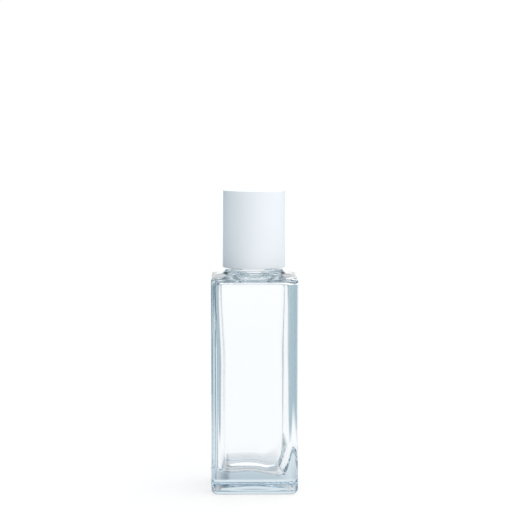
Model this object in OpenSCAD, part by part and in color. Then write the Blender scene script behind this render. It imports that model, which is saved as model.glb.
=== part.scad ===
// Square aftershave bottle: a thick glass body with a threaded neck, a pouring
// insert in the neck, and a screw cap made of an outer shell, a threaded inner
// sleeve and a sealing wad. Millimetres, +Z up, origin at the centre of the base.

/* [Glass body] */
// Width and depth of the square body
body_w = 42; // [38:1:50]
// Height of the body up to the rim of its shoulder
body_h = 105; // [80:1:130]
// Radius of the upright corners
corner_r = 2.8; // [2:0.2:4]
// Radius of the heel, where the sides turn into the base
heel_r = 2.8; // [2:0.1:4]
// Radius of the shoulder's rim
rim_r = 1.2; // [0.6:0.1:2]
// Height that the shoulder and its collar climb from the rim to the neck
shoulder_rise = 3.1; // [3:0.1:4]
// Radius of the round collar on the shoulder
collar_r = 14.2; // [13.6:0.1:14.6]
// Thickness of the side walls
wall = 3.5; // [2.5:0.1:4]
// Thickness of the base at its middle
base_t = 9.8; // [6:0.2:14]
// Depth of the hollow under the base
push_up = 1.0; // [0.5:0.1:1.5]

/* [Neck finish] */
// Outside diameter of the thread
thread_d = 19.7; // [19.4:0.1:20]
// Outside diameter of the neck between the threads
neck_d = 17.6; // [17.2:0.1:17.8]
// Bore of the neck
bore_d = 12; // [10:0.5:12]
// Height of the neck above the collar
neck_h = 13.1; // [13:0.1:16]
// Rise of the thread in one turn
pitch = 3.175; // [3.1:0.025:3.3]
// Turns of thread on the neck
turns = 1.25; // [1:0.25:1.25]

/* [Cap] */
// Outside diameter of the cap at its mouth
cap_d = 30.6; // [29:0.2:34]
// Height of the cap
cap_h = 37.6; // [30:0.2:44]
// Gap between the collar and the mouth of the cap
cap_gap = 1; // [1:0.1:3]
// Wall of the outer shell
shell_t = 1.7; // [1.2:0.1:1.8]
// Draft of the shell on each side, in degrees
draft = 0.43; // [0:0.01:1]
// Thickness of the sealing wad
wad_t = 1.5; // [1:0.1:2]

/* [Hidden] */

// Curves: facets on exact round parts, and steps round one corner of a loft
round_fn = 96;
corner_steps = 8;
// Overlap that joins solids
join = 0.6;
// Largest corner radius of a loft's ring, as a share of its half width
near_round = 0.95;

// Heights
crest_z = body_h + shoulder_rise;
land_z = crest_z + neck_h;
cap_z = crest_z + cap_gap;

// Glass body
heel_steps = 6;
rim_steps = 4;
rim_turn = 70;
dome_steps = 5;
dome_rise = 1;
dome_top_r = collar_r + 1;
collar_foot_r = collar_r + 2.4;
collar_edge = 0.6;
neck_flare = 0.9;
recess_r = 16.5;
recess_ball_r = (recess_r * recess_r + push_up * push_up) / (2 * push_up);

// Hollow inside the body
hollow_half = body_w / 2 - wall;
hollow_corner_r = 4.5;
floor_r = 5;
shoulder_t = 2.2;
ceiling_r = 3;
ceiling_steps = 5;
ceiling_turn = 75;
throat_t = 2.7;
throat_step = 0.3;
throat_r = bore_d / 2 - throat_step;

// Neck: edge of the land and the bead under the thread
land_chamfer = 0.5;
bead_inset = 0.15;
bead_r = thread_d / 2 - bead_inset;
bead_h = 1.8;
bead_rise = 2.2;
bead_z = crest_z + bead_rise;
bead_chamfer = 0.5;

// Thread profile: ridge on the neck, and the ridge inside the cap that runs
// half a pitch below it with the same clearance on both flanks
ring_steps = 36;
thread_root_h = 1.9;
thread_crest_h = 0.9;
thread_top_drop = 1.6;
thread_z = land_z - thread_top_drop - turns * pitch;
bore_clear = 0.3;
thread_clear = 0.35;
cap_bore_r = thread_d / 2 + bore_clear;
cap_thread_r = neck_d / 2 + thread_clear;
cap_thread_root_h = 1.7;
cap_thread_crest_h = 0.7;
run_out = 0.12;
sunk = 0.2;

// Pouring insert
flange_w = 1.6;
flange_r = bore_d / 2 + flange_w;
flange_t = 1;
plug_l = 8.5;
plug_clear = 0.1;
plug_wall = 0.9;
fin_bite = 0.08;
fin_h = 0.7;
fin_start = 1;
fin_gap = 2.4;
fin_count = 3;
orifice_r = 1.6;
lip_r = 2.6;
lip_h = 0.35;

// Sealing wad: it rests on the insert's flange
wad_z = land_z + flange_t;
wad_clear = 0.15;
wad_r = cap_bore_r - wad_clear;

// Inner sleeve of the cap
sleeve_t = 1.5;
sleeve_r = cap_bore_r + sleeve_t;
sleeve_top_t = 1.4;
sleeve_inset = 0.6;
sleeve_z = cap_z + sleeve_inset;
sleeve_top_z = wad_z + wad_t + sleeve_top_t;
skirt_t = 1.4;
press = 0.04;
rib_count = 8;
rib_w = 1.2;
rib_clear = 0.1;

// Outer shell of the cap
shell_top_t = 2;
shell_edge_r = 0.35;
shell_edge_cut = shell_edge_r * (1 - cos(45));
shell_top_z = cap_z + cap_h;
shell_slope = tan(draft);

// Radius of the shell's outside and inside at a height
function shell_r(z) = cap_d / 2 - (z - cap_z) * shell_slope;
function shell_bore_r(z) = shell_r(z) - shell_t;

// A value part of the way from a to b
function mix(a, b, t) = a + (b - a) * t;

// Points of a square ring with round corners, anticlockwise from the +X side.
// A level is [height, half width, corner radius], with the radius below the half.
function ring(level) = [
  for (k = [0 : 3], j = [0 : corner_steps])
    let (
      a = 90 * (k + j / corner_steps),
      c = level[1] - level[2],
      sx = k == 0 || k == 3 ? 1 : -1,
      sy = k < 2 ? 1 : -1
    )
    [sx * c + level[2] * cos(a), sy * c + level[2] * sin(a), level[0]]
];

// Solid through a list of levels, from the lowest to the highest
module loft(levels) {
  n = 4 * (corner_steps + 1);
  top = n * (len(levels) - 1);
  sides = [
    for (i = [0 : len(levels) - 2], k = [0 : n - 1])
      let (p = n * i + k, q = n * i + (k + 1) % n)
      each [[p, p + n, q], [q, p + n, q + n]]
  ];
  polyhedron(
    [for (level = levels) each ring(level)],
    concat([[for (k = [0 : n - 1]) k]], sides, [[for (k = [n - 1 : -1 : 0]) top + k]])
  );
}

// Outside of the body: heel, sides, rim and the low dome inside the collar
module body_outside() {
  half = body_w / 2;
  dome_half = half - rim_r * (1 - cos(rim_turn));
  dome_z = body_h - rim_r * (1 - sin(rim_turn));
  dome_h = body_h + dome_rise - dome_z;
  loft(concat(
    [
      for (i = [0 : heel_steps])
        let (a = 90 * i / heel_steps)
        [heel_r * (1 - cos(a)), half - heel_r * (1 - sin(a)), corner_r]
    ],
    [
      for (i = [0 : rim_steps])
        let (a = rim_turn * i / rim_steps)
        [body_h - rim_r * (1 - sin(a)), half - rim_r * (1 - cos(a)), corner_r]
    ],
    [
      for (i = [1 : dome_steps])
        let (t = i / dome_steps, h = mix(dome_half, dome_top_r, t))
        [dome_z + dome_h * (1 - pow(1 - t, 2)), h, mix(corner_r, near_round * h, t)]
    ]
  ));
}

// The hollow that holds the lotion: round floor, round ceiling, funnel to the bore
module hollow() {
  ceiling_z = body_h - shoulder_t;
  loft(concat(
    [
      for (i = [0 : heel_steps])
        let (a = 90 * i / heel_steps)
        [base_t + floor_r * (1 - cos(a)), hollow_half - floor_r * (1 - sin(a)), hollow_corner_r]
    ],
    [
      for (i = [0 : ceiling_steps])
        let (a = ceiling_turn * i / ceiling_steps)
        [
          ceiling_z - ceiling_r * (1 - sin(a)),
          hollow_half - ceiling_r * (1 - cos(a)),
          hollow_corner_r
        ]
    ],
    [[crest_z - throat_t, throat_r, near_round * throat_r]]
  ));
}

// A ridge along a right-hand helix. It stands on a wall of radius wall_r, its
// crest is at crest_r, and both ends sink back into the wall.
module helix_ridge(wall_r, crest_r, root_h, crest_h, z0, turn_count) {
  out = crest_r > wall_r ? 1 : -1;
  rings = round(turn_count * ring_steps);
  rise = function (i) min(1, i / (run_out * rings), (rings - i) / (run_out * rings));
  crest = function (i) mix(wall_r - out * sunk, crest_r, rise(i));
  buried = wall_r - out * join;
  section = function (i)
    out > 0
      ? [[buried, root_h], [crest(i), crest_h]]
      : [[crest(i), crest_h], [buried, root_h]];
  points = [
    for (i = [0 : rings])
      let (s = section(i), a = 360 * i / ring_steps, z = z0 + pitch * i / ring_steps)
      for (c = [[s[0][0], -s[0][1]], [s[1][0], -s[1][1]], [s[1][0], s[1][1]], [s[0][0], s[0][1]]])
        [c[0] * cos(a), c[0] * sin(a), z + c[1] / 2]
  ];
  last = 4 * rings;
  sides = [
    for (i = [0 : rings - 1], k = [0 : 3])
      let (p = 4 * i + k, q = 4 * i + (k + 1) % 4)
      each [[p, q, p + 4], [q, q + 4, p + 4]]
  ];
  polyhedron(
    points,
    concat([[0, 2, 1], [0, 3, 2]], sides, [[last, last + 1, last + 2], [last, last + 2, last + 3]])
  );
}

// Sloping collar, tube wall, chamfered land and bead, as one turned shape
module neck_outside() {
  r = neck_d / 2;
  rotate_extrude($fn = round_fn)
    polygon([
      [0, body_h - join],
      [collar_foot_r, body_h - join],
      [collar_foot_r, body_h],
      for (a = [0 : 30 : 90])
        [collar_r - collar_edge * (1 - cos(a)), crest_z - collar_edge * (1 - sin(a))],
      [r + neck_flare, crest_z],
      [r, crest_z + neck_flare],
      [r, bead_z],
      [bead_r - bead_chamfer, bead_z],
      [bead_r, bead_z + bead_chamfer],
      [bead_r, bead_z + bead_h - bead_chamfer],
      [bead_r - bead_chamfer, bead_z + bead_h],
      [r, bead_z + bead_h],
      [r, land_z - land_chamfer],
      [r - land_chamfer, land_z],
      [0, land_z]
    ]);
}

module glass_bottle() {
  color([0.82, 0.92, 0.96, 0.45])
    difference() {
      union() {
        body_outside();
        neck_outside();
        helix_ridge(
          neck_d / 2, thread_d / 2, thread_root_h, thread_crest_h, thread_z, turns
        );
      }
      hollow();
      translate([0, 0, crest_z - throat_t - join])
        cylinder(d = bore_d, h = neck_h + throat_t + 2 * join, $fn = round_fn);
      translate([0, 0, push_up - recess_ball_r])
        sphere(r = recess_ball_r, $fn = round_fn);
    }
}

// Soft plug with sealing fins, a flange on the land and a small pouring hole
module pouring_insert() {
  plug_r = bore_d / 2 - plug_clear;
  inside_r = plug_r - plug_wall;
  plug_z = land_z - plug_l;
  color([0.9, 0.93, 0.94])
    difference() {
      union() {
        translate([0, 0, plug_z])
          cylinder(r = plug_r, h = plug_l + flange_t / 2, $fn = round_fn);
        translate([0, 0, land_z])
          cylinder(r = flange_r, h = flange_t, $fn = round_fn);
        for (i = [0 : fin_count - 1])
          translate([0, 0, plug_z + fin_start + i * fin_gap])
            cylinder(r1 = plug_r, r2 = bore_d / 2 + fin_bite, h = fin_h, $fn = round_fn);
      }
      translate([0, 0, plug_z - join])
        cylinder(r = inside_r, h = plug_l + join - flange_t / 2, $fn = round_fn);
      cylinder(r = orifice_r, h = land_z + 2 * flange_t, $fn = round_fn);
      translate([0, 0, land_z + flange_t - lip_h])
        cylinder(r1 = orifice_r, r2 = lip_r, h = 2 * lip_h, $fn = round_fn);
    }
}

// Foam disc that closes on the insert
module sealing_wad() {
  color([0.97, 0.97, 0.95])
    translate([0, 0, wad_z])
      cylinder(r = wad_r, h = wad_t, $fn = round_fn);
}

// Threaded sleeve with a top disc, a skirt that presses into the shell, and ribs
module cap_inner() {
  rib_x = cap_bore_r + sleeve_t / 2;
  bore_h = sleeve_top_z - sleeve_top_t - sleeve_z;
  color([0.93, 0.94, 0.95]) {
    difference() {
      union() {
        translate([0, 0, sleeve_z])
          cylinder(r = sleeve_r, h = sleeve_top_z - sleeve_z, $fn = round_fn);
        translate([0, 0, sleeve_z])
          cylinder(r = shell_bore_r(sleeve_z) + press, h = skirt_t, $fn = round_fn);
        for (i = [0 : rib_count - 1])
          rotate(360 * i / rib_count)
            translate([rib_x, -rib_w / 2, sleeve_z + skirt_t / 2])
              cube([shell_bore_r(sleeve_top_z) - rib_clear - rib_x, rib_w, bore_h - skirt_t / 2]);
      }
      translate([0, 0, sleeve_z - join])
        cylinder(r = cap_bore_r, h = bore_h + join, $fn = round_fn);
    }
    helix_ridge(
      cap_bore_r, cap_thread_r, cap_thread_root_h, cap_thread_crest_h,
      thread_z - pitch / 2, turns
    );
  }
}

// Smooth outer cover of the cap, open at the mouth
module cap_shell() {
  mouth_r = shell_r(cap_z);
  top_r = shell_r(shell_top_z);
  ceiling = shell_top_z - shell_top_t;
  color([0.95, 0.96, 0.98])
    rotate_extrude($fn = round_fn)
      polygon([
        [shell_bore_r(cap_z), cap_z],
        [mouth_r - shell_edge_r, cap_z],
        [mouth_r - shell_edge_cut, cap_z + shell_edge_cut],
        [mouth_r, cap_z + shell_edge_r],
        [top_r, shell_top_z - shell_edge_r],
        [top_r - shell_edge_cut, shell_top_z - shell_edge_cut],
        [top_r - shell_edge_r, shell_top_z],
        [0, shell_top_z],
        [0, ceiling],
        [shell_bore_r(ceiling), ceiling]
      ]);
}

glass_bottle();
pouring_insert();
sealing_wad();
cap_inner();
cap_shell();
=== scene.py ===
"""Looks of the square aftershave bottle: clear glass body, pouring insert and white screw cap."""

import math

import bpy
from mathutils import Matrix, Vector, noise


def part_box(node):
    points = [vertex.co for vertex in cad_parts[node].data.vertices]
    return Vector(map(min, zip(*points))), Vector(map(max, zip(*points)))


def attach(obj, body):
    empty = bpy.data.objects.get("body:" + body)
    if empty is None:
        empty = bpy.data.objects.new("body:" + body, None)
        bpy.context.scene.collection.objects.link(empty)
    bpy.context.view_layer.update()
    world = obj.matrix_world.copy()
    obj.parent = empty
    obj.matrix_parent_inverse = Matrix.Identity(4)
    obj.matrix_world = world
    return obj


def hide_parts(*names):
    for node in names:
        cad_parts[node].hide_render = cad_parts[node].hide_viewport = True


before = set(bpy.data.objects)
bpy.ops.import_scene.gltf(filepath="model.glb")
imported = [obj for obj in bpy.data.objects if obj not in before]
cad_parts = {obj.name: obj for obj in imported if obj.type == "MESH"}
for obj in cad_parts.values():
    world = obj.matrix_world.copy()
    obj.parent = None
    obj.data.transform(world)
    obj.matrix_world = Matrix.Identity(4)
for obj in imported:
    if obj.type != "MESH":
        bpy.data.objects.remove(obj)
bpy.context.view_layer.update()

# ---------------------------------------------------------------- driving sizes, in millimetres

MM = 0.001


def box_mm(node):
    """Lowest and highest corner of a CAD node, in millimetres."""
    low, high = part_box(node)
    return low / MM, high / MM


bottle_high = box_mm("glass_bottle")[1]
insert_low, insert_high = box_mm("pouring_insert")
wad_low, wad_high = box_mm("sealing_wad")
inner_low, inner_high = box_mm("cap_inner")
shell_low, shell_high = box_mm("cap_shell")

# Heights of the glass
LAND_Z = bottle_high.z
NECK_H = 13.1
CREST_Z = LAND_Z - NECK_H
SHOULDER_RISE = 3.1
BODY_H = CREST_Z - SHOULDER_RISE

# Base, sides and rim
HALF = bottle_high.x
CORNER_R = 2.8
HEEL_R = 2.8
RIM_R = 1.2
RIM_TURN = math.radians(70)
RECESS_R = 16.5
RECESS_POWER = 1.5
PUSH_UP = 1.0
FLAT_HALF, FLAT_CORNER_R, FLAT_ROUNDNESS = 17.2, 8.0, 0.5

# Dome and round collar of the shoulder
DOME_RISE = 1.0
DOME_POWER = 1.6
COLLAR_Z = BODY_H + DOME_RISE
COLLAR_FOOT_R = 15.6
COLLAR_R = 14.2
COLLAR_POWER = 0.7
COLLAR_EDGE = 0.6
CREST_R = 11.5

# Neck, its bead and its thread
NECK_R = 8.8
NECK_FILLET = 0.9
BORE_R = 6.0
LAND_EDGE, BORE_EDGE = 0.5, 0.4
BEAD_R = 9.7
BEAD_Z = CREST_Z + 2.2
BEAD_H = 1.8
THREAD_R = 9.85
PITCH = 3.175
TURNS = 1.25
THREAD_Z = LAND_Z - 1.6 - TURNS * PITCH
THREAD_FROM = BEAD_Z + BEAD_H + 0.3
THREAD_TO = LAND_Z - 0.55
THREAD_CREST_H, THREAD_ROOT_H = 0.7, 2.1
RUN_OUT = 0.12
THREAD_STEP = 0.12

# Hollow inside the body, uneven as blown glass is. Pairs are at its top and lower down;
# corner radii run back right, back left, front left, front right.
WALL = (2.3, 2.9)
RIGHT_WALL = (1.5, 1.5)
CORNERS_TOP = (3.4, 2.5, 3.0, 6.4)
CORNERS_LOW = (5.0, 3.8, 4.8, 7.6)
SETTLE_RATE = 2.2
CEILING_Z = BODY_H - 1.8
CEILING_R = 1.5
CEILING_TURN = 75
THROAT_Z = CREST_Z - 2.7
THROAT_SHARE = 0.45

# Curve between its walls and its floor: how far in and up, and where the right side takes over
FLOOR_IN, FLOOR_UP = 4.0, 3.2
RIGHT_IN, RIGHT_UP = 5.0, 16.0
RIGHT_POWER = 1.5
RIGHT_FROM, RIGHT_OVER = 4.0, 13.0

# Its floor: height at the middle, a low mound to the left and a fall to the right
BASE_T = 9.8
FLOOR_Z = BASE_T + 0.4
MOUND_H, MOUND_X, MOUND_W = 0.6, -3.0, 7.0
FALL_H, FALL_X = 2.2, 15.0

# Waves in its walls: height of the slow and the quick ones, and how many to a millimetre
WAVE_H, RIPPLE_H = 0.14, 0.04
WAVES = Vector((0.045, 0.045, 0.022))
RIPPLES = 3.1

# Cap: outer shell, and the threaded sleeve with its skirt and ribs
CAP_Z = shell_low.z
CAP_TOP = shell_high.z
CAP_R = shell_high.x
SHELL_T = 1.7
SHELL_TOP_T = 2.0
SHELL_EDGE = 0.35
DRAFT = math.tan(math.radians(0.43))
GATE_R, GATE_H, GATE_SLOPE = 0.8, 0.15, 0.2
SLEEVE_Z = inner_low.z
SLEEVE_TOP = inner_high.z
SLEEVE_BORE_R = 10.15
SLEEVE_R = 11.65
SLEEVE_TOP_T = 1.4
SLEEVE_THREAD_R = 9.15
SLEEVE_CREST_H, SLEEVE_ROOT_H = 0.5, 1.9
MOUTH_EDGE, MOUTH_LAND = 0.3, 0.4
DISC_RS = (2.0, 5.0, 8.0)
SKIRT_T = 1.4
RIB_COUNT, RIB_W, RIB_CLEAR, RIB_SUNK = 8, 1.2, 0.1, 0.3

# Pouring insert in the bore, and the wad that closes on it
PLUG_Z = insert_low.z
FLANGE_TOP = insert_high.z
FLANGE_R = insert_high.x
FLANGE_T = 1.0
PLUG_R, PLUG_WALL = 5.9, 0.9
LEAD_IN, LEAD_H = 0.15, 0.4
FIN_R, FIN_H, FIN_START, FIN_GAP, FIN_COUNT = 6.08, 0.7, 1.0, 2.4, 3
FIN_BACK = 0.05
ORIFICE_R, LIP_R, LIP_H, BRIDGE_T = 1.6, 2.6, 0.35, 0.5
WAD_R = wad_high.x
WAD_Z, WAD_TOP = wad_low.z, wad_high.z
PRESSED_IN, PRESSED_OUT, PRESSED_SLOPE, PRESSED_H = 1.0, 0.2, 0.2, 0.06

# Points round a glass ring: along each flat side and round each corner; points round a turned one
FLAT_N = 48
CORNER_N = 14
RING_N = 4 * (FLAT_N + CORNER_N)
TURN_N = 128

# Steps round a corner of a turned outline, and the most of a side that a corner may take
CORNER_STEPS, CAP_CORNER_STEPS = 4, 6
CORNER_SHARE = 0.45

# Rings up or across each stretch of a surface
RECESS_RINGS = 8
HEEL_RINGS = 10
SIDE_RINGS = 40
RIM_RINGS = 8
DOME_RINGS = 12
COLLAR_RINGS = 6
EDGE_RINGS = 5
BEAD_RINGS = 6
THROAT_RINGS = 8
CEILING_RINGS = 12
CEILING_EDGE_RINGS = 8
WALL_RINGS = 44
FOOT_RINGS = 14
FLOOR_RINGS = 12

# ---------------------------------------------------------------- small tools


def lerp(a, b, t):
    """A value part of the way from a to b."""
    return a + (b - a) * t


def smooth(t):
    """A share from 0 to 1 that starts and ends gently."""
    t = min(1.0, max(0.0, t))
    return t * t * (3 - 2 * t)


def shares(n, first=1):
    """The shares i / n, from step first up to the whole."""
    return [i / n for i in range(first, n + 1)]


def arc(n, start=0.0, end=90.0, first=0):
    """Angles in radians from start to end in n steps, from step first on."""
    return [math.radians(lerp(start, end, t)) for t in shares(n, first)]


def mesh_object(name, points, faces, body, node, material):
    """A smooth mesh, given in millimetres, that rides on a body and stands for a CAD node."""
    mesh = bpy.data.meshes.new(name)
    mesh.from_pydata([[c * MM for c in p] for p in points], [], faces)
    mesh.validate()
    mesh.update()
    mesh.shade_smooth()
    mesh.materials.append(material)
    piece = bpy.data.objects.new(name, mesh)
    bpy.context.scene.collection.objects.link(piece)
    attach(piece, body)
    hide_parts(node)
    return piece


def tube_faces(rings, n, closed=False):
    """Quads between successive rings of n points; closed joins the last ring to the first."""
    pairs = [(i, i + 1) for i in range(rings - 1)]
    if closed:
        pairs.append((rings - 1, 0))
    return [
        [a * n + k, a * n + (k + 1) % n, b * n + (k + 1) % n, b * n + k]
        for a, b in pairs
        for k in range(n)
    ]


def capped_faces(rings, n):
    """Tube faces with a fan at both ends, onto two extra points after the rings."""
    faces = tube_faces(rings, n)
    start, end, last = rings * n, rings * n + 1, (rings - 1) * n
    faces += [[start, (k + 1) % n, k] for k in range(n)]
    faces += [[end, last + k, last + (k + 1) % n] for k in range(n)]
    return faces


# ---------------------------------------------------------------- glass bottle


def ring_plan():
    """For each point of a ring: which side, along the flat (-1 to 1) or round the corner."""
    plan = []
    for side in range(4):
        for j in range(FLAT_N):
            plan.append((side, -math.cos(math.pi * j / FLAT_N), 0.0))
        for j in range(CORNER_N):
            plan.append((side, 1.0, math.pi / 2 * j / CORNER_N))
    return plan


RING_PLAN = ring_plan()
ROUND_REFERENCE = 0.13


def ring_point(side, along, turn, half, corners):
    """A point of a square ring with four round corners."""
    start, end = half - corners[side - 1], half - corners[side]
    x = end + corners[side] * math.cos(turn) if turn else half
    y = lerp(-start, end, (along + 1) / 2) + corners[side] * math.sin(turn)
    c, s = [(1, 0), (0, 1), (-1, 0), (0, -1)][side]
    return x * c - y * s, x * s + y * c


def ring(z, half, corner, roundness=0.0):
    """A ring of points that goes from square (0) to circular (1), with one corner radius or four."""
    corners = corner if isinstance(corner, tuple) else (corner,) * 4
    corners = tuple(min(r, half) for r in corners)
    points = []
    for side, along, turn in RING_PLAN:
        x, y = ring_point(side, along, turn, half, corners)
        if roundness > 0:
            rx, ry = ring_point(side, along, turn, 1.0, (ROUND_REFERENCE,) * 4)
            length = math.hypot(rx, ry)
            x = lerp(x, half * rx / length, roundness)
            y = lerp(y, half * ry / length, roundness)
        points.append([x, y, z])
    return points


def thread_height(angle, z, start_z, profile):
    """Height of a helical ridge over its wall at an angle (radians) and a height."""
    rise = 0.0
    for turn in range(-1, 3):
        turns_done = angle / (2 * math.pi) + turn
        if 0 <= turns_done <= TURNS:
            ends = smooth(min(turns_done, TURNS - turns_done) / RUN_OUT)
            rise = max(rise, ends * profile(abs(z - start_z - PITCH * turns_done)))
    return rise


def ridge(crest_h, root_h, height):
    """Cross-section of a thread: flat crest, sloping flanks with softened corners."""
    def profile(distance):
        t = (root_h / 2 - distance) / (root_h / 2 - crest_h / 2)
        return height * smooth(t)
    return profile


def threaded(points, start_z, profile, direction):
    """Points of a round ring pushed out (1) or in (-1) by the thread."""
    out = []
    for x, y, z in points:
        angle = math.atan2(y, x) % (2 * math.pi)
        push = direction * thread_height(angle, z, start_z, profile)
        radius = math.hypot(x, y)
        out.append([x * (radius + push) / radius, y * (radius + push) / radius, z])
    return out


def round_ring(z, r):
    """A circular ring."""
    return ring(z, r, r, 1.0)


def base_rings():
    """Recess under the base, the flat that the bottle stands on, and the heel."""
    rings = []
    for t in shares(RECESS_RINGS):
        rings.append(round_ring(PUSH_UP * (1 - t ** 2) ** RECESS_POWER, RECESS_R * t))
    rings.append(ring(0.0, FLAT_HALF, FLAT_CORNER_R, FLAT_ROUNDNESS))
    for a in arc(HEEL_RINGS):
        inset = HEEL_R * (1 - math.sin(a))
        rings.append(ring(HEEL_R * (1 - math.cos(a)), HALF - inset, CORNER_R))
    return rings


def side_rings():
    """Flat sides between heel and rim, with the rings closer together near both."""
    rings = []
    for t in shares(SIDE_RINGS)[:-1]:
        z = lerp(HEEL_R, BODY_H - RIM_R, 0.5 - 0.5 * math.cos(math.pi * t))
        rings.append(ring(z, HALF, CORNER_R))
    return rings


def shoulder_rings():
    """Rim and low dome, which turn from square to round up to the collar."""
    rings = []
    for a in arc(RIM_RINGS, 0, math.degrees(RIM_TURN)):
        inset = RIM_R * (1 - math.cos(a))
        rings.append(ring(BODY_H - RIM_R * (1 - math.sin(a)), HALF - inset, CORNER_R))
    dome_half = HALF - RIM_R * (1 - math.cos(RIM_TURN))
    dome_z = BODY_H - RIM_R * (1 - math.sin(RIM_TURN))
    for t in shares(DOME_RINGS):
        half = lerp(dome_half, COLLAR_FOOT_R, t)
        z = lerp(dome_z, COLLAR_Z, 1 - (1 - t) ** DOME_POWER)
        rings.append(ring(z, half, lerp(CORNER_R, COLLAR_FOOT_R, t), smooth(t)))
    return rings


def collar_rings():
    """Sloping collar with a rounded top edge, in to the foot of the neck."""
    rings = []
    for t in shares(COLLAR_RINGS):
        r = lerp(COLLAR_FOOT_R, COLLAR_R, smooth(t) ** COLLAR_POWER)
        rings.append(round_ring(lerp(COLLAR_Z, CREST_Z - COLLAR_EDGE, t), r))
    for a in arc(EDGE_RINGS, first=1):
        r = COLLAR_R - COLLAR_EDGE * (1 - math.cos(a))
        rings.append(round_ring(CREST_Z - COLLAR_EDGE * (1 - math.sin(a)), r))
    rings.append(round_ring(CREST_Z, CREST_R))
    return rings


def neck_rings():
    """Neck with a fillet at its foot, a bead, the thread and the outer edge of the land."""
    rings = []
    for a in arc(EDGE_RINGS, first=1):
        r = NECK_R + NECK_FILLET * (1 - math.sin(a))
        rings.append(round_ring(CREST_Z + NECK_FILLET * (1 - math.cos(a)), r))
    for a in arc(BEAD_RINGS, -90, 90):
        r = lerp(NECK_R, BEAD_R, math.sqrt(abs(math.cos(a))))
        rings.append(round_ring(BEAD_Z + BEAD_H / 2 * (1 + math.sin(a)), r))
    profile = ridge(THREAD_CREST_H, THREAD_ROOT_H, THREAD_R - NECK_R)
    z = THREAD_FROM
    while z < THREAD_TO:
        rings.append(threaded(round_ring(z, NECK_R), THREAD_Z, profile, 1))
        z += THREAD_STEP
    for a in arc(EDGE_RINGS):
        r = NECK_R - LAND_EDGE * (1 - math.cos(a))
        rings.append(round_ring(LAND_Z - LAND_EDGE * (1 - math.sin(a)), r))
    return rings


def outside_rings():
    """Outer surface from the middle of the base up to the edge of the land."""
    return base_rings() + side_rings() + shoulder_rings() + collar_rings() + neck_rings()


def settle(pair, t):
    """A size of the hollow, from its top (0) to its floor (1): it settles half way down."""
    return lerp(pair[0], pair[1], smooth(t * SETTLE_RATE))


def floor_height(x):
    """Top of the glass base at a place across it."""
    mound = MOUND_H * math.exp(-((x - MOUND_X) / MOUND_W) ** 2)
    return FLOOR_Z + mound - FALL_H * smooth(x / FALL_X)


def floor_rise(x, left, right):
    """How high the floor's rounding has climbed: steep on the left, long on the right."""
    return lerp(left, right, smooth((x - RIGHT_FROM) / RIGHT_OVER))


def waved(point):
    """A point of the hollow's wall with the slow waves that blown glass has."""
    x, y, z = point
    where = Vector(point) * WAVES
    push = WAVE_H * noise.noise(where) + RIPPLE_H * noise.noise(where * RIPPLES)
    length = math.hypot(x, y) or 1.0
    return [x * (1 + push / length), y * (1 + push / length), z]


def hollow_ring(half, right, corners, height):
    """A ring of the hollow whose right side stands further out; height(x) gives its z."""
    return [
        (x * right / half if x > 0 else x, y, height(x)) for x, y, _ in ring(0, half, corners)
    ]


def throat_rings():
    """Inner edge of the land, and the bore of the neck."""
    rings = []
    for a in arc(EDGE_RINGS, 90, 0):
        r = BORE_R + BORE_EDGE * (1 - math.cos(a))
        rings.append(round_ring(LAND_Z - BORE_EDGE * (1 - math.sin(a)), r))
    for t in shares(THROAT_RINGS):
        rings.append(round_ring(lerp(LAND_Z - BORE_EDGE, THROAT_Z, t), BORE_R))
    return rings


def ceiling_rings():
    """Ceiling of the hollow, from the round bore out to its rounded edge."""
    top, right = HALF - WALL[0], HALF - RIGHT_WALL[0]
    turn = math.radians(CEILING_TURN)
    top_half = top - CEILING_R * (1 - math.cos(turn))
    top_z = CEILING_Z - CEILING_R * (1 - math.sin(turn))
    rings = []
    for t in shares(CEILING_RINGS):
        corners = tuple(lerp(BORE_R, r, t) for r in CORNERS_TOP)
        z = lerp(THROAT_Z, top_z, smooth(t / THROAT_SHARE))
        plain = ring(z, lerp(BORE_R, top_half, t), corners, 1 - smooth(t))
        stretch = lerp(1, right / top, t)
        rings.append([(x * stretch if x > 0 else x, y, z) for x, y, z in plain])
    return rings


def ceiling_edge_ring(a):
    """A ring of the rounded edge between the hollow's ceiling and its walls, at an angle."""
    inset = CEILING_R * (1 - math.cos(a))
    z = CEILING_Z - CEILING_R * (1 - math.sin(a))
    half, right = HALF - WALL[0] - inset, HALF - RIGHT_WALL[0] - inset
    return hollow_ring(half, right, CORNERS_TOP, lambda x: z)


def wall_ring(t):
    """A ring of the hollow's walls, from its ceiling (0) to where its floor curves up (1)."""

    def height(x):
        foot = floor_height(x) + floor_rise(x, FLOOR_UP, RIGHT_UP)
        return lerp(CEILING_Z - CEILING_R, foot, t)

    corners = tuple(settle(pair, t) for pair in zip(CORNERS_TOP, CORNERS_LOW))
    half, right = HALF - settle(WALL, t), HALF - settle(RIGHT_WALL, t)
    return [waved(p) for p in hollow_ring(half, right, corners, height)]


def foot_ring(t):
    """A ring of the curve between the hollow's walls (1) and its floor (0)."""
    a = math.pi / 2 * t

    def height(x):
        left = FLOOR_UP * (1 - math.cos(a))
        return floor_height(x) + floor_rise(x, left, RIGHT_UP * t ** RIGHT_POWER)

    half = HALF - WALL[1] - FLOOR_IN * (1 - math.sin(a))
    right = HALF - RIGHT_WALL[1] - RIGHT_IN * (1 - t)
    return [waved(p) for p in hollow_ring(half, right, CORNERS_LOW, height)]


def floor_ring(t):
    """A ring of the hollow's floor, as a share of its full size."""
    corners = tuple(r * t for r in CORNERS_LOW)
    half = (HALF - WALL[1] - FLOOR_IN) * t
    right = (HALF - RIGHT_WALL[1] - RIGHT_IN) * t
    return [waved(p) for p in hollow_ring(half, right, corners, floor_height)]


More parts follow.
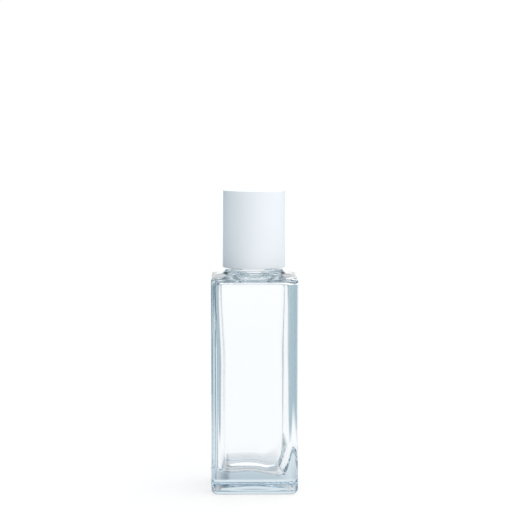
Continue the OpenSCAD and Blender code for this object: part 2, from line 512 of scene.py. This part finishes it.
def hollow_rings():
    """Inner surface from the edge of the land down to the middle of the floor."""
    rings = throat_rings() + ceiling_rings()
    rings += [ceiling_edge_ring(a) for a in arc(CEILING_EDGE_RINGS, CEILING_TURN, 0, 1)]
    rings += [wall_ring(t) for t in shares(WALL_RINGS)[:-1]]
    rings += [foot_ring(1 - t) for t in shares(FOOT_RINGS, 0)]
    rings += [floor_ring(1 - t) for t in shares(FLOOR_RINGS)[:-1]]
    return rings


def glass_bottle(material):
    """Body and neck in one piece of glass, solid between its outer and inner surfaces."""
    rings = outside_rings() + hollow_rings()
    points = [p for r in rings for p in r] + [[0, 0, PUSH_UP], [0, 0, floor_height(0)]]
    faces = capped_faces(len(rings), RING_N)
    return mesh_object(
        "bottle_glass", points, faces, "bottle", "glass_bottle", material
    )


# ---------------------------------------------------------------- plastic pieces


def rounded(outline, steps=CORNER_STEPS):
    """An outline of (r, z, corner radius) points with its corners turned into arcs."""
    out = []
    for i, (r, z, radius) in enumerate(outline):
        here = Vector((r, z))
        if radius == 0 or i in (0, len(outline) - 1):
            out.append((r, z))
            continue
        back = Vector(outline[i - 1][:2]) - here
        ahead = Vector(outline[i + 1][:2]) - here
        reach = min(radius, CORNER_SHARE * back.length, CORNER_SHARE * ahead.length)
        a, b = here + back.normalized() * reach, here + ahead.normalized() * reach
        for k in range(steps + 1):
            t = k / steps
            p = a * (1 - t) ** 2 + here * 2 * t * (1 - t) + b * t ** 2
            out.append((p.x, p.y))
    return out


def circle(r, z):
    """A ring of a turned piece."""
    step = 2 * math.pi / TURN_N
    return [[r * math.cos(step * k), r * math.sin(step * k), z] for k in range(TURN_N)]


def turned(rings, start_z, end_z):
    """Points and faces of a solid through rings that starts and ends on the axis."""
    points = [p for r in rings for p in r] + [[0, 0, start_z], [0, 0, end_z]]
    return points, capped_faces(len(rings), TURN_N)


def turned_piece(outline, name, body, node, material):
    """A turned solid whose outline (r, z) starts and ends on the axis."""
    rings = [circle(r, z) for r, z in outline[1:-1]]
    points, faces = turned(rings, outline[0][1], outline[-1][1])
    return mesh_object(name, points, faces, body, node, material)


def shell_r(z):
    """Outer radius of the cap's shell at a height."""
    return CAP_R - (z - CAP_Z) * DRAFT


def cap_shell(material):
    """Smooth cover with a soft top edge, and a small gate mark under its top."""
    ceiling = CAP_TOP - SHELL_TOP_T
    outline = [
        (0, ceiling - GATE_H, 0),
        (GATE_R, ceiling - GATE_H, 0.1),
        (GATE_R + GATE_SLOPE, ceiling, 0.1),
        (shell_r(ceiling) - SHELL_T, ceiling, 0.8),
        (shell_r(CAP_Z) - SHELL_T, CAP_Z, 0.3),
        (CAP_R, CAP_Z, SHELL_EDGE),
        (shell_r(CAP_TOP), CAP_TOP, SHELL_EDGE),
        (0, CAP_TOP, 0),
    ]
    outline = rounded(outline, CAP_CORNER_STEPS)
    return turned_piece(outline, "cap_cover", "cap", "cap_shell", material)


def sealing_wad(material):
    """Foam disc, with the ring that the insert's flange has pressed into it."""
    outline = [
        (0, WAD_Z, 0),
        (FLANGE_R - PRESSED_IN - PRESSED_SLOPE, WAD_Z, 0.2),
        (FLANGE_R - PRESSED_IN, WAD_Z + PRESSED_H, 0.1),
        (FLANGE_R - PRESSED_OUT, WAD_Z + PRESSED_H, 0.1),
        (FLANGE_R, WAD_Z, 0.2),
        (WAD_R, WAD_Z, 0.25),
        (WAD_R, WAD_TOP, 0.25),
        (0, WAD_TOP, 0),
    ]
    outline = rounded(outline)
    return turned_piece(outline, "foam_disc", "wad", "sealing_wad", material)


def pouring_insert(material):
    """Plug with three sealing fins, a flange on the land and a flared pouring hole."""
    inside_r = PLUG_R - PLUG_WALL
    land_z = FLANGE_TOP - FLANGE_T
    outline = [
        (inside_r, PLUG_Z, 0.2),
        (PLUG_R - LEAD_IN, PLUG_Z, 0.1),
        (PLUG_R, PLUG_Z + LEAD_H, 0.2),
    ]
    for i in range(FIN_COUNT):
        z = PLUG_Z + FIN_START + i * FIN_GAP
        edge = z + FIN_H
        outline += [(PLUG_R, z, 0.1), (FIN_R, edge, 0.08), (PLUG_R, edge + FIN_BACK, 0.1)]
    outline += [
        (PLUG_R, land_z, 0.1),
        (FLANGE_R, land_z, 0.2),
        (FLANGE_R, FLANGE_TOP, 0.3),
        (LIP_R, FLANGE_TOP, 0.15),
        (ORIFICE_R, FLANGE_TOP - LIP_H, 0.15),
        (ORIFICE_R, land_z - BRIDGE_T, 0.2),
        (inside_r, land_z - BRIDGE_T, 0.4),
    ]
    rings = [circle(r, z) for r, z in rounded([*outline, outline[0]])[:-1]]
    points = [p for r in rings for p in r]
    faces = tube_faces(len(rings), TURN_N, closed=True)
    return mesh_object(
        "pouring_plug", points, faces, "bottle", "pouring_insert", material
    )


def rib_box(angle):
    """Corners of one rib that centres the sleeve in the shell, clear of the shell at its top."""
    low, high = SLEEVE_Z + SKIRT_T / 2, SLEEVE_TOP - SLEEVE_TOP_T
    near, far = SLEEVE_R - RIB_SUNK, shell_r(high) - SHELL_T - RIB_CLEAR
    c, s = math.cos(angle), math.sin(angle)
    points = []
    for z in (low, high):
        for r, w in ((near, -1), (far, -1), (far, 1), (near, 1)):
            y = w * RIB_W / 2
            points.append([r * c - y * s, r * s + y * c, z])
    return points


RIB_FACES = [[3, 2, 1, 0], [4, 5, 6, 7], [0, 1, 5, 4], [1, 2, 6, 5], [2, 3, 7, 6], [3, 0, 4, 7]]


def cap_inner(material):
    """Threaded sleeve with a top disc, a skirt that fills the shell's mouth, and ribs."""
    ceiling = SLEEVE_TOP - SLEEVE_TOP_T
    skirt_r = shell_r(SLEEVE_Z) - SHELL_T
    profile = ridge(SLEEVE_CREST_H, SLEEVE_ROOT_H, SLEEVE_BORE_R - SLEEVE_THREAD_R)
    rings = [circle(r, ceiling) for r in (*DISC_RS, SLEEVE_BORE_R - MOUTH_EDGE)]
    z = ceiling - MOUTH_EDGE
    while z > SLEEVE_Z + MOUTH_LAND:
        rings.append(threaded(circle(SLEEVE_BORE_R, z), THREAD_Z - PITCH / 2, profile, -1))
        z -= THREAD_STEP
    outline = [
        (SLEEVE_BORE_R, SLEEVE_Z + MOUTH_EDGE, 0),
        (SLEEVE_BORE_R + MOUTH_EDGE, SLEEVE_Z, 0.1),
        (skirt_r, SLEEVE_Z, 0.3),
        (skirt_r, SLEEVE_Z + SKIRT_T, 0.15),
        (SLEEVE_R, SLEEVE_Z + SKIRT_T, 0.5),
        (SLEEVE_R, SLEEVE_TOP, 0.6),
        (DISC_RS[0], SLEEVE_TOP, 0),
    ]
    rings += [circle(r, z) for r, z in rounded(outline)]
    points, faces = turned(rings, ceiling, SLEEVE_TOP)
    for i in range(RIB_COUNT):
        first = len(points)
        points += rib_box(2 * math.pi * i / RIB_COUNT)
        faces += [[first + k for k in face] for face in RIB_FACES]
    return mesh_object(
        "threaded_sleeve", points, faces, "cap", "cap_inner", material
    )


# ---------------------------------------------------------------- materials


class Nodes:
    """A material's node tree, written one node at a time."""

    def __init__(self, name):
        self.material = bpy.data.materials.new(name)
        self.material.use_nodes = True
        self.tree = self.material.node_tree
        self.shader = self.tree.nodes["Principled BSDF"]
        self.output = self.tree.nodes["Material Output"]

    def add(self, kind, **values):
        """A new node, with values for its inputs or its own settings."""
        node = self.tree.nodes.new(kind)
        for key, value in values.items():
            if key in node.inputs:
                node.inputs[key].default_value = value
            else:
                setattr(node, key, value)
        return node

    def link(self, a, b):
        """Join an output to an input."""
        self.tree.links.new(a, b)

    def set(self, **values):
        """Values on the shader's own sockets."""
        for key, value in values.items():
            self.shader.inputs[key.replace("_", " ")].default_value = value

    def noise(self, scale, detail):
        """Noise fixed to the piece."""
        where = self.add("ShaderNodeTexCoord")
        node = self.add("ShaderNodeTexNoise", Scale=scale, Detail=detail, Roughness=0.5)
        self.link(where.outputs["Object"], node.inputs["Vector"])
        return node

    def ramp(self, source, low, high):
        """A colour between low and high that follows a source."""
        node = self.add("ShaderNodeValToRGB")
        node.color_ramp.elements[0].color = (*low, 1)
        node.color_ramp.elements[1].color = (*high, 1)
        self.link(source, node.inputs["Fac"])
        return node.outputs["Color"]

    def bump(self, source, strength, distance):
        """Fine relief that follows a source."""
        node = self.add("ShaderNodeBump", Strength=strength, Distance=distance)
        self.link(source, node.inputs["Height"])
        self.link(node.outputs["Normal"], self.shader.inputs["Normal"])


GLASS_TINT, GLASS_DENSITY = (0.22, 0.47, 0.60, 1), 12.0
# Tint of the painted glow that stands in for light let through the plastics
PAINTED_GLOW_TINT = (0.80, 0.87, 0.92, 1)


def glass_material():
    """Clear glass that takes on its blue-grey tint through its thickness."""
    m = Nodes("flint_glass")
    m.set(Base_Color=(1, 1, 1, 1), Roughness=0.0, IOR=1.5, Transmission_Weight=1.0)
    volume = m.add("ShaderNodeVolumeAbsorption", Color=GLASS_TINT, Density=GLASS_DENSITY)
    m.link(volume.outputs["Volume"], m.output.inputs["Volume"])
    return m.material


def white_material(name, low, high, rough, grain, glow=0.0):
    """Moulded plastic: slight colour drift, varying gloss, a fine skin, and a painted glow for the
    light let through.
    """
    m = Nodes(name)
    drift = m.noise(60, 3)
    m.link(m.ramp(drift.outputs["Fac"], low, high), m.shader.inputs["Base Color"])
    gloss = m.noise(220, 2)
    spread = m.add("ShaderNodeMapRange", **{"To Min": rough - 0.05, "To Max": rough + 0.05})
    m.link(gloss.outputs["Fac"], spread.inputs["Value"])
    m.link(spread.outputs["Result"], m.shader.inputs["Roughness"])
    m.bump(m.noise(grain, 4).outputs["Fac"], 0.12, 0.00003)
    # A painted glow stands in for the light that passes through the plastic
    m.set(IOR=1.49, Emission_Color=PAINTED_GLOW_TINT, Emission_Strength=glow)
    return m.material


def foam_material():
    """Closed-cell foam: small pits and a dull, slightly warm skin."""
    m = Nodes("foam_wad")
    cells = m.add("ShaderNodeTexVoronoi", Scale=2400)
    m.link(m.add("ShaderNodeTexCoord").outputs["Object"], cells.inputs["Vector"])
    tint = m.ramp(cells.outputs["Distance"], (0.80, 0.80, 0.77), (0.90, 0.90, 0.88))
    m.link(tint, m.shader.inputs["Base Color"])
    m.bump(cells.outputs["Distance"], 0.3, 0.00005)
    m.set(Roughness=0.85)
    return m.material


def ldpe_material():
    """Waxy, translucent plastic of the insert, its translucency painted as a glow."""
    return white_material(
        "natural_ldpe", (0.78, 0.81, 0.83), (0.84, 0.87, 0.88), rough=0.48, grain=3000, glow=0.30
    )


def pp_material():
    """Natural, slightly translucent plastic of the sleeve, its translucency painted as a glow."""
    return white_material(
        "natural_pp", (0.84, 0.86, 0.87), (0.90, 0.915, 0.925), rough=0.42, grain=3800, glow=0.42
    )


def cap_material():
    """Opaque white plastic of the cap's shell."""
    return white_material(
        "white_cap", (0.87, 0.88, 0.90), (0.91, 0.92, 0.935), rough=0.38, grain=5200
    )


# ---------------------------------------------------------------- studio

# Colours of the surroundings: the strip behind, the rest of them, and two soft lights
WHITE = (1.03, 1.03, 1.03)
SHADE = (0.28, 0.38, 0.44)
LEFT_SHADE = (0.20, 0.26, 0.31)
HORIZON = (0.40, 0.52, 0.58)
KEY = (2.50, 2.42, 2.38)
OVERHEAD = (1.80, 1.80, 1.82)

# Directions in the surroundings
UP, BACK, LEFT = (0.0, 0.0, 1.0), (0.0, 1.0, 0.0), (-1.0, 0.0, 0.0)
KEY_SIDE = (0.85, -0.30, 0.42)

# Light that the floor gives off, and its matt colour: on the white strip, behind and beside the
# object; then a painted shadow under and just behind the object, darker on its left
GLOW_FRONT, GLOW_BEHIND = (0.73, 0.73, 0.73), (0.695, 0.70, 0.705)
GLOW_BESIDE = (0.05, 0.13, 0.17)
# Painted shadow under the object, and its darker left part
GLOW_PAINTED_SHADOW, GLOW_PAINTED_SHADOW_LEFT = (0.46, 0.50, 0.53), (0.05, 0.09, 0.13)
MATT, MATT_BESIDE = (0.20, 0.20, 0.20), (0.24, 0.27, 0.28)
FLOOR_HALF = 6.0

# Where each fades in, in metres: from nothing to its full value
FADE_BEHIND = (0.0, 0.2)
# Edges of the painted shadow under and behind the object, and where its darker left part begins
PAINTED_SHADOW_SIDES, PAINTED_SHADOW_FRONT, PAINTED_SHADOW_BACK = (0.022, 0.012), (-0.021, -0.012), (0.09, 0.03)
PAINTED_SHADOW_LEFT_EDGE = (-0.011, -0.014)

# Where the colours of the surroundings fade in, as how far a direction points that way
FADE_LEFT, FADE_HORIZON, FADE_OVERHEAD = (0.3, 0.8), (0.22, 0.02), (0.6, 0.95)
FADE_STRIP, FADE_STRIP_TOP, WORLD_STRIP_SPREAD = (0.0, 0.3), (0.50, 0.25), 0.28
FADE_KEY, FADE_KEY_UP = (0.0, 0.75), (0.25, 0.50)

# The white strip in front of and behind the object: half width at the object, growth per metre,
# and how far its middle line leans to the right per metre; then the width of its soft edge
STRIP, STRIP_GROWTH, STRIP_LEAN = 0.126, 0.150, 0.018
STRIP_EDGE, NO_EDGE = 0.07, 0.0001


def maths(tree, operation, a, b=None):
    """A Math node on numbers or sockets."""
    node = tree.nodes.new("ShaderNodeMath")
    node.operation = operation
    for socket, value in zip(node.inputs, (a, b)):
        if isinstance(value, (int, float)):
            socket.default_value = value
        elif value is not None:
            tree.links.new(value, socket)
    return node.outputs[0]


def soft_step(tree, value, start, full):
    """0 up to start, 1 from full on, and smooth between."""
    span = tree.nodes.new("ShaderNodeMapRange")
    span.interpolation_type = "SMOOTHSTEP"
    span.inputs["From Min"].default_value = start
    span.inputs["From Max"].default_value = full
    tree.links.new(value, span.inputs["Value"])
    return span.outputs["Result"]


def towards(tree, vector, direction):
    """How far a vector points in a direction, from -1 to 1."""
    dot = tree.nodes.new("ShaderNodeVectorMath")
    dot.operation = "DOT_PRODUCT"
    dot.inputs[1].default_value = Vector(direction).normalized()
    tree.links.new(vector, dot.inputs[0])
    return dot.outputs["Value"]


def blend_colour(tree, factor, low, high):
    """Mix two colours, each a colour or an output socket."""
    mix = tree.nodes.new("ShaderNodeMix")
    mix.data_type = "RGBA"
    sockets = [i for i in mix.inputs if i.type == "RGBA"]
    for socket, value in zip(sockets, (low, high)):
        if isinstance(value, tuple):
            socket.default_value = (*value, 1)
        else:
            tree.links.new(value, socket)
    tree.links.new(factor, mix.inputs["Factor"])
    return [o for o in mix.outputs if o.type == "RGBA"][0]


def beside_strip(tree, vector, near, spread, soft):
    """0 on the white strip, 1 beside it. Its soft edge starts at near, soft wide, and spreads."""
    split = tree.nodes.new("ShaderNodeSeparateXYZ")
    tree.links.new(vector, split.inputs[0])
    middle = maths(tree, "MULTIPLY", split.outputs["Y"], STRIP_LEAN)
    across = maths(tree, "ABSOLUTE", maths(tree, "SUBTRACT", split.outputs["X"], middle))
    along = maths(tree, "ABSOLUTE", split.outputs["Y"])
    over = maths(tree, "SUBTRACT", across, maths(tree, "MULTIPLY", along, STRIP_GROWTH))
    width = maths(tree, "ADD", maths(tree, "MULTIPLY", along, spread), soft)
    over = maths(tree, "SUBTRACT", over, near)
    return soft_step(tree, maths(tree, "DIVIDE", over, width), 0.0, 1.0)


def painted_shadow_mask(tree, x, y):
    """Mask of the painted shadow: 1 on the floor under the object and just behind it, 0 elsewhere.
    """
    across = soft_step(tree, maths(tree, "ABSOLUTE", x), *PAINTED_SHADOW_SIDES)
    front = soft_step(tree, y, *PAINTED_SHADOW_FRONT)
    behind = soft_step(tree, y, *PAINTED_SHADOW_BACK)
    return maths(tree, "MULTIPLY", maths(tree, "MULTIPLY", across, front), behind)


def floor_material():
    """Matt white that glows a little, so that it shows hardly any shadow; the shadow under the
    object is painted.
    """
    m = Nodes("studio_floor")
    tree = m.tree
    where = m.add("ShaderNodeTexCoord").outputs["Object"]
    split = m.add("ShaderNodeSeparateXYZ")
    m.link(where, split.inputs[0])
    x, y = split.outputs["X"], split.outputs["Y"]
    beside = beside_strip(tree, where, STRIP, 0.0, STRIP_EDGE)
    strip = blend_colour(tree, soft_step(tree, y, *FADE_BEHIND), GLOW_FRONT, GLOW_BEHIND)
    glow = blend_colour(tree, beside, strip, GLOW_BESIDE)
    # Painted shadow under and just behind the object, darker on its left
    left = soft_step(tree, x, *PAINTED_SHADOW_LEFT_EDGE)
    painted_shadow = blend_colour(tree, left, GLOW_PAINTED_SHADOW, GLOW_PAINTED_SHADOW_LEFT)
    glow = blend_colour(tree, painted_shadow_mask(tree, x, y), glow, painted_shadow)
    m.link(glow, m.shader.inputs["Emission Color"])
    m.link(blend_colour(tree, beside, MATT, MATT_BESIDE), m.shader.inputs["Base Color"])
    m.set(Roughness=0.9, Emission_Strength=1.0)
    return m.material


def studio_floor():
    """A large flat table."""
    mesh = bpy.data.meshes.new("studio_floor")
    corners = [(-1, -1), (1, -1), (1, 1), (-1, 1)]
    mesh.from_pydata([(x * FLOOR_HALF, y * FLOOR_HALF, 0) for x, y in corners], [], [[0, 1, 2, 3]])
    mesh.materials.append(floor_material())
    piece = bpy.data.objects.new("studio_floor", mesh)
    bpy.context.scene.collection.objects.link(piece)


def studio_world():
    """Soft light from all round: white behind and above, bright on the right, shade between."""
    scene_world = bpy.data.worlds.new("studio")
    bpy.context.scene.world = scene_world
    scene_world.use_nodes = True
    tree = scene_world.node_tree
    where = tree.nodes.new("ShaderNodeTexCoord").outputs["Generated"]
    up = towards(tree, where, UP)
    left = soft_step(tree, towards(tree, where, LEFT), *FADE_LEFT)
    colour = blend_colour(tree, left, SHADE, LEFT_SHADE)
    colour = blend_colour(tree, soft_step(tree, up, *FADE_HORIZON), colour, HORIZON)
    behind = soft_step(tree, towards(tree, where, BACK), *FADE_STRIP)
    beside = beside_strip(tree, where, 0.0, WORLD_STRIP_SPREAD, NO_EDGE)
    strip = maths(tree, "SUBTRACT", 1.0, beside)
    low = soft_step(tree, up, *FADE_STRIP_TOP)
    strip = maths(tree, "MULTIPLY", strip, maths(tree, "MULTIPLY", behind, low))
    colour = blend_colour(tree, strip, colour, WHITE)
    raised = soft_step(tree, up, *FADE_KEY_UP)
    key = soft_step(tree, towards(tree, where, KEY_SIDE), *FADE_KEY)
    colour = blend_colour(tree, maths(tree, "MULTIPLY", key, raised), colour, KEY)
    colour = blend_colour(tree, soft_step(tree, up, *FADE_OVERHEAD), colour, OVERHEAD)
    tree.links.new(colour, tree.nodes["Background"].inputs["Color"])


def studio_camera():
    """A little higher than the cap, 0.84 m away, looking 4.6 degrees down at the front."""
    turn = math.radians(1.01)
    pitch = math.radians(4.57)
    distance, side, height = 0.840, 0.001, 0.1815
    data = bpy.data.cameras.new("camera")
    data.lens = 121.0
    data.sensor_width = 36.0
    data.clip_start, data.clip_end = 0.05, 60.0
    cam = bpy.data.objects.new("camera", data)
    bpy.context.scene.collection.objects.link(cam)
    ahead = Vector((math.sin(turn), math.cos(turn), 0))
    across = Vector((math.cos(turn), -math.sin(turn), 0))
    cam.location = across * side - ahead * distance + Vector((0, 0, height))
    look = ahead * math.cos(pitch) - Vector((0, 0, math.sin(pitch)))
    cam.rotation_euler = look.to_track_quat("-Z", "Y").to_euler()
    bpy.context.scene.camera = cam


def plain_look():
    """Plain colours, and enough bounces for light to find its way through the thick glass."""
    scene = bpy.context.scene
    scene.view_settings.view_transform = "Standard"
    scene.cycles.max_bounces = 40
    scene.cycles.transmission_bounces = 40
    scene.cycles.glossy_bounces = 12


# ---------------------------------------------------------------- the bottle in its studio

glass_bottle(glass_material())
pouring_insert(ldpe_material())
sealing_wad(foam_material())
cap_inner(pp_material())
cap_shell(cap_material())

studio_floor()
studio_world()
studio_camera()
plain_look()
